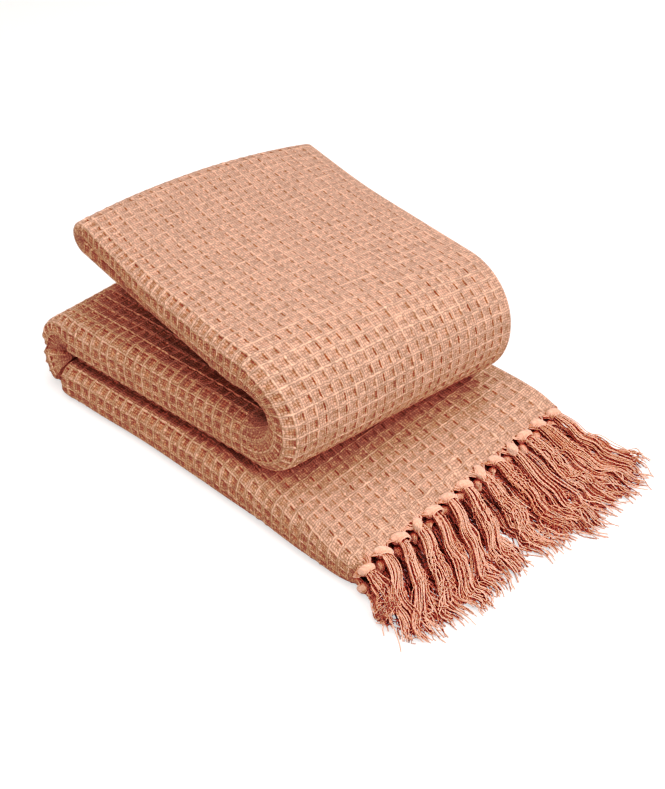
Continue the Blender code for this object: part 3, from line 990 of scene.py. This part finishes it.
# Turns lines into yarns, each point knowing its place round and along the yarn and its tone.
def yarnTubes(tree, lines, tone, sides, radius, capped):
    here = addNode(tree, "GeometryNodeInputPosition", {}, {})
    parameter = addNode(tree, "GeometryNodeSplineParameter", {}, {})
    walked = captured(tree, lines, "FLOAT", parameter.outputs["Length"])
    toned = captured(tree, walked, "FLOAT", tone)
    ring = addNode(tree, "GeometryNodeCurvePrimitiveCircle", {}, {"Resolution": sides, "Radius": radius})
    around = captured(tree, ring, "VECTOR", here)
    tubes = addNode(tree, "GeometryNodeCurveToMesh", {},
                    {"Curve": toned, "Profile Curve": around, "Fill Caps": capped})
    ringSplit = apart(tree, around.outputs[1])
    place = together(tree, ringSplit[0], ringSplit[1], walked.outputs[1])
    tubes = storing(tree, tubes, "yarnPlace", "FLOAT_VECTOR", place)
    return storing(tree, tubes, "yarnTone", "FLOAT", toned.outputs[1])


# Nothing goes under the floor: what would be lower than this height lies at it.
def raisedTo(tree, geometry, lowest):
    split = apart(tree, addNode(tree, "GeometryNodeInputPosition", {}, {}))
    height = maths(tree, "MAXIMUM", split[2], lowest)
    return placed(tree, geometry, Position=together(tree, split[0], split[1], height))


# Fills every guide with yarns that keep their order from the cloth's edge to the tips.
def tasselTree(material):
    tree = bpy.data.node_groups.new("tasselYarns", "GeometryNodeTree")
    given, out = treeInputs(tree, ["yarns", "points", "yarnRadius", "sides", "seed", "shortest",
                                   "waveScale"])
    lines = addNode(tree, "GeometryNodeMeshToCurve", {}, {"Mesh": given[0]})
    lines = addNode(tree, "GeometryNodeCurveSplineType", {"spline_type": "CATMULL_ROM"},
                    {"Curve": lines})
    lines = addNode(tree, "GeometryNodeResampleCurve", {}, {"Curve": lines, "Count": given["points"]})
    copies = addNode(tree, "GeometryNodeDuplicateElements", {"domain": "SPLINE"},
                     {"Geometry": lines, "Amount": given["yarns"]})
    copyNumber = copies.outputs[1]

    tassel = stored(tree, "tassel")
    yarnId = maths(tree, "ADD", maths(tree, "MULTIPLY", tassel, 200.0), copyNumber)

    def chance(low, high, shift):
        seed = maths(tree, "ADD", given["seed"], float(shift))
        return addNode(tree, "FunctionNodeRandomValue", {"data_type": "FLOAT"},
                       {2: low, 3: high, "ID": yarnId, "Seed": seed}).outputs[1]

    across = maths(tree, "ADD", copyNumber, chance(0.1, 0.9, 1))
    across = maths(tree, "DIVIDE", across, given["yarns"])
    across = maths(tree, "SUBTRACT", maths(tree, "MULTIPLY", across, 2.0), 1.0)
    sideways = scaled(tree, stored(tree, "sideWay", "FLOAT_VECTOR"), across)
    upwards = scaled(tree, stored(tree, "upWay", "FLOAT_VECTOR"), chance(-1.0, 1.0, 2))
    spread = vectors(tree, "ADD", sideways, upwards)
    bundle = placed(tree, copies, Offset=spread)
    # waves that neighbours share, with a few yarns that stray
    here = addNode(tree, "GeometryNodeInputPosition", {}, {})
    drift = maths(tree, "ADD", maths(tree, "MULTIPLY", tassel, 3.7), chance(0.0, 0.5, 3))
    noise = addNode(tree, "ShaderNodeTexNoise", {"noise_dimensions": "4D"},
                    {"Vector": here, "W": drift, "Scale": given["waveScale"], "Detail": 1.0})
    centred = vectors(tree, "SUBTRACT", noise.outputs[1], (0.5, 0.5, 0.5))
    rare = maths(tree, "POWER", chance(0.0, 1.0, 4), 7.0)
    stray = maths(tree, "ADD", maths(tree, "MULTIPLY", rare, 2.0), 0.75)
    amount = maths(tree, "MULTIPLY", stored(tree, "loose"), stray)
    waved = scaled(tree, centred, amount)
    bundle = placed(tree, bundle, Offset=waved)
    lowest = maths(tree, "MULTIPLY", given["yarnRadius"], chance(1.05, 4.0, 5))
    bundle = raisedTo(tree, bundle, lowest)
    # uneven ends
    bundle = addNode(tree, "GeometryNodeTrimCurve", {"mode": "FACTOR"},
                     {"Curve": bundle, "End": chance(given["shortest"], 1.0, 6)})
    tubes = yarnTubes(tree, bundle, chance(0.0, 1.0, 7), given["sides"], given["yarnRadius"],
                      True)
    whole = addNode(tree, "GeometryNodeRealizeInstances", {}, {0: tubes})
    dress(tree, whole, material, out)
    return tree


# Loose two-ply cotton yarn: matt and fuzzy, with its twist showing as slanting grooves.
yarnLook = {
    "bright": "#EBB599",
    "dull": "#D18E72",
    "twistLength": 0.0045,
    "grooveShade": (0.86, 1.04),
    # painted shade in the fringe's gaps: how far it looks, from how open a place it fades, and its tint
    "tasselReach": 0.02,
    "tasselOpen": 0.65,
    "tasselShadeTint": (0.66, 0.17, 0.1),
    "roughness": 0.92,
    "fuzz": 0.3,
    "bumpHeight": 0.0003,
}


def twistedYarn():
    look = yarnLook
    material, tree, shader = newMaterial("twistedCottonYarn", look["roughness"], look["fuzz"], 0.2)
    place = painted(tree, "yarnPlace").outputs["Vector"]
    tone = painted(tree, "yarnTone")
    split = apart(tree, place)
    turn = maths(tree, "ARCTAN2", split[1], split[0])
    turned = maths(tree, "MULTIPLY", turn, 2.0)
    walked = maths(tree, "MULTIPLY", split[2], 2 * math.pi / look["twistLength"])
    phase = maths(tree, "ADD", turned, walked)
    groove = maths(tree, "SINE", phase)
    bump = bumped(tree, groove, look["bumpHeight"], 0.8)
    shade = ranged(tree, groove, (-1.0, 1.0), look["grooveShade"])
    colour = blended(tree, tone.outputs["Fac"], linearColour(look["dull"]), linearColour(look["bright"]))
    final = scaled(tree, colour, shade)
    # painted shade: darker and redder deep between the tassels
    final = paintedFoldShade(tree, final, look["tasselReach"], look["tasselShadeTint"], look["tasselOpen"])
    plug(tree, final, shader.inputs["Base Color"])
    plug(tree, bump, shader.inputs["Normal"])
    return material


yarn = twistedYarn()
fillTassels = tasselTree(yarn)
outerGuides, outerKnots = fringeGuides(outerFringe, 0)
tuckedGuides, tuckedKnots = fringeGuides(tuckedFringe, len(rowPlaces) - 1)
upperYarns = dict(yarns=36, points=24, yarnRadius=0.00066, sides=4, seed=11, shortest=0.84, waveScale=15)
lowerYarns = dict(yarns=20, points=19, yarnRadius=0.0008, sides=3, seed=31, shortest=0.8, waveScale=15)
tuckedYarns = dict(yarns=9, points=14, yarnRadius=0.0009, sides=3, seed=51, shortest=0.85, waveScale=20)
tasselKinds = [
    ("fringe_upper_yarns", outerGuides, (0,), upperYarns),
    ("fringe_lower_yarns", outerGuides, (1, 2, 3), lowerYarns),
    ("fringe_tucked_yarns", tuckedGuides, (0, 1, 2, 3), tuckedYarns),
]
yarnPieces = []
for name, guides, wanted, sizes in tasselKinds:
    yarnPieces.append(finishedPiece(guideObject(name, guides, wanted), fillTassels, sizes, yarn))


# One knot: a few yarns wound side by side round the tassel, slanting, placed at every root.
knotShape = {
    "wraps": 8,
    "steps": 10,
    "wide": 6.4,
    "deep": 5.0,
    "length": 9.0,
    "slant": 0.5,
    "yarnRadius": 1.0,
    "clearOfFloor": 0.2,
    "leftHanded": 0.35,    # share of the knots that are tied the other way
    "tilt": 0.3,           # most, in radians, about each axis
    "sizes": (0.9, 1.15),
}


def knotPoints(name, knots, size, seed):
    chance = np.random.default_rng(seed)
    mesh = bpy.data.meshes.new(name)
    mesh.from_pydata([tuple(middle * mm) for middle, side, normal, ply in knots], [], [])
    most = knotShape["tilt"]
    turns, scales = [], []
    for middle, side, normal, ply in knots:
        ahead = np.cross(side, normal)
        hand = 1 if chance.uniform() > knotShape["leftHanded"] else -1
        upwards = normal * hand * math.copysign(1, ahead[0])
        frameOf = Matrix((side * hand, upwards, (1, 0, 0))).transposed()
        tilt = Euler([chance.uniform(-most, most) for axis in range(3)])
        turns.append((frameOf.to_quaternion() @ tilt.to_quaternion()).to_euler())
        scales.append([size * chance.uniform(*knotShape["sizes"]) for axis in range(3)])
    addValues(mesh, "turned", "FLOAT_VECTOR", turns)
    addValues(mesh, "sized", "FLOAT_VECTOR", scales)
    return newObject(name, mesh)


def knotTree(material):
    tree = bpy.data.node_groups.new("woundKnots", "GeometryNodeTree")
    given, out = treeInputs(tree, ["wraps", "steps", "wide", "deep", "length", "slant", "yarnRadius"])
    loop = addNode(tree, "GeometryNodeCurvePrimitiveCircle", {},
                   {"Resolution": given["steps"], "Radius": 1.0})
    copies = addNode(tree, "GeometryNodeDuplicateElements", {"domain": "SPLINE"},
                     {"Geometry": loop, "Amount": given["wraps"]})
    share = maths(tree, "DIVIDE", maths(tree, "ADD", copies.outputs[1], 0.5), given["wraps"])
    share = maths(tree, "SUBTRACT", maths(tree, "MULTIPLY", share, 2.0), 1.0)
    # the middle wraps stand out most
    flatter = maths(tree, "MULTIPLY", maths(tree, "MULTIPLY", share, share), 0.6)
    bulge = maths(tree, "SQRT", maths(tree, "SUBTRACT", 1.0, flatter))
    here = addNode(tree, "GeometryNodeInputPosition", {}, {})
    split = apart(tree, here)
    wide = maths(tree, "MULTIPLY", maths(tree, "MULTIPLY", split[0], given["wide"]), bulge)
    deep = maths(tree, "MULTIPLY", maths(tree, "MULTIPLY", split[1], given["deep"]), bulge)
    along = maths(tree, "MULTIPLY", maths(tree, "MULTIPLY", share, given["length"]), 0.5)
    along = maths(tree, "ADD", along, maths(tree, "MULTIPLY", wide, given["slant"]))
    place = together(tree, wide, deep, along)
    inMetres = scaled(tree, place, mm)
    wound = placed(tree, copies, Position=inMetres)
    tone = addNode(tree, "FunctionNodeRandomValue", {"data_type": "FLOAT"},
                   {2: 0.4, 3: 1.0, "ID": copies.outputs[1]})
    thick = maths(tree, "MULTIPLY", given["yarnRadius"], mm)
    tubes = yarnTubes(tree, wound, tone.outputs[1], 4, thick, False)
    turned = stored(tree, "turned", "FLOAT_VECTOR")
    sized = stored(tree, "sized", "FLOAT_VECTOR")
    knots = addNode(tree, "GeometryNodeInstanceOnPoints", {},
                    {"Points": given[0], "Instance": tubes, "Rotation": turned, "Scale": sized})
    whole = addNode(tree, "GeometryNodeRealizeInstances", {}, {0: knots})
    whole = raisedTo(tree, whole, knotShape["clearOfFloor"] * mm)
    dress(tree, whole, material, out)
    return tree


windKnots = knotTree(yarn)
knotPieces = []
for name, knots, fringe, seed in (("fringe_outer_knots", outerKnots, outerFringe, 7),
                                  ("fringe_tucked_knots", tuckedKnots, tuckedFringe, 8)):
    points = knotPoints(name, knots, fringe["knotSize"], seed)
    piece = finishedPiece(points, windKnots, knotShape, yarn)
    piece.data.shade_smooth()
    knotPieces.append(piece)
outerKnotPiece, tuckedKnotPiece = knotPieces
for piece, node in ((yarnPieces[0], "fringe_outer"), (yarnPieces[1], "fringe_outer"),
                    (outerKnotPiece, "fringe_outer"), (yarnPieces[2], "fringe_tucked"),
                    (tuckedKnotPiece, "fringe_tucked")):
    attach(piece, "root")
    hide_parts(node)

for cloth, first, last in zip(clothPieces, pieceRows, pieceRows[1:]):
    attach(cloth, "root")
    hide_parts("blanket")


# The stage: a pale floor, four soft lamps, the world's light and the camera.
stage = {
    "floor": "#C4C2C1",
    "floorGlow": 0.55,     # seen by the camera alone, so the pale table keeps faint shadows
    "grain": (0.985, 1.0),     # brightness of the paper from place to place
    "lens": 59.47,
    "cameraTurn": (49.663, 0, 42.769),
    "cameraPlace": (0.7263, -0.7854, 0.9556),
}


lamps = {
    "keyLight": dict(place=(0.4, -0.3, 1.55), size=1.6, power=24, colour=(1.0, 0.97, 0.95)),
    "backLight": dict(place=(-0.3, 1.2, 1.6), size=0.7, power=13, colour=(1.0, 0.98, 0.96)),
    "sideLight": dict(place=(1.8, -0.1, 1.1), size=0.9, power=30, colour=(1.0, 0.97, 0.95)),
    "frontLight": dict(place=(-0.6, -1.7, 0.9), size=1.2, power=14, colour=(1.0, 0.9, 0.85)),
}
# the printed picture's curves: all channels, green and blue, as shade and what it is printed as
printPoints = {
    3: ((0.03, 0.014), (0.12, 0.082), (0.22, 0.22), (0.4, 0.415), (0.7, 0.71)),
    1: ((0.05, 0.034), (0.107, 0.086), (0.2, 0.196), (0.381, 0.402), (0.6, 0.612)),
    2: ((0.03, 0.021), (0.06, 0.05), (0.13, 0.13), (0.242, 0.266), (0.45, 0.468)),
}


def paperFloor():
    material, tree, shader = newMaterial("paleMattPaper", 0.95, 0.0, 0.5)
    place = addNode(tree, "ShaderNodeTexCoord", {}, {})
    noise = addNode(tree, "ShaderNodeTexNoise", {}, {"Vector": place.outputs["Object"], "Scale": 40.0})
    tone = ranged(tree, noise, after=stage["grain"])
    shade = scaled(tree, linearColour(stage["floor"])[:3], tone)
    plug(tree, shade, shader.inputs["Base Color"])
    shader.inputs["Emission Color"].default_value = (1.0, 1.0, 1.0, 1)
    path = addNode(tree, "ShaderNodeLightPath", {}, {})
    glow = maths(tree, "MULTIPLY", path.outputs["Is Camera Ray"], stage["floorGlow"])
    plug(tree, glow, shader.inputs["Emission Strength"])
    mesh = bpy.data.meshes.new("floor")
    mesh.from_pydata([(-6, -6, 0), (6, -6, 0), (6, 6, 0), (-6, 6, 0)], [], [(0, 1, 2, 3)])
    mesh.materials.append(material)
    floor = newObject("floor", mesh)
    floor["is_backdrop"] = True


def softLight(name, place, size, power, colour):
    light = bpy.data.lights.new(name, "AREA")
    light.shape = "DISK"
    light.size = size
    light.energy = power
    light.color = colour
    lamp = newObject(name, light)
    lamp.location = place
    lamp.rotation_euler = (-Vector(place)).to_track_quat("-Z", "Y").to_euler()


paperFloor()
for name, lamp in lamps.items():
    softLight(name, **lamp)
world = bpy.data.worlds.new("softStudio")
world.use_nodes = True
world.node_tree.nodes["Background"].inputs["Color"].default_value = (1.0, 0.8, 0.7, 1)
world.node_tree.nodes["Background"].inputs["Strength"].default_value = 0.24
scene.world = world
scene.view_settings.view_transform = "Standard"
# the studio print's contrast: shades go a little deeper, so they are redder too
scene.view_settings.use_curve_mapping = True
printCurve = scene.view_settings.curve_mapping
for channel, points in printPoints.items():
    for shade, printed in points:
        printCurve.curves[channel].points.new(shade, printed)
printCurve.update()

camera = newObject("camera", bpy.data.cameras.new("camera"))
camera.data.lens = stage["lens"]
camera.location = stage["cameraPlace"]
camera.rotation_euler = [math.radians(angle) for angle in stage["cameraTurn"]]
scene.camera = camera

sizes = {"cad": [list(corner) for corner in cadBox], "visual": [list(corner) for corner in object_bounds()]}
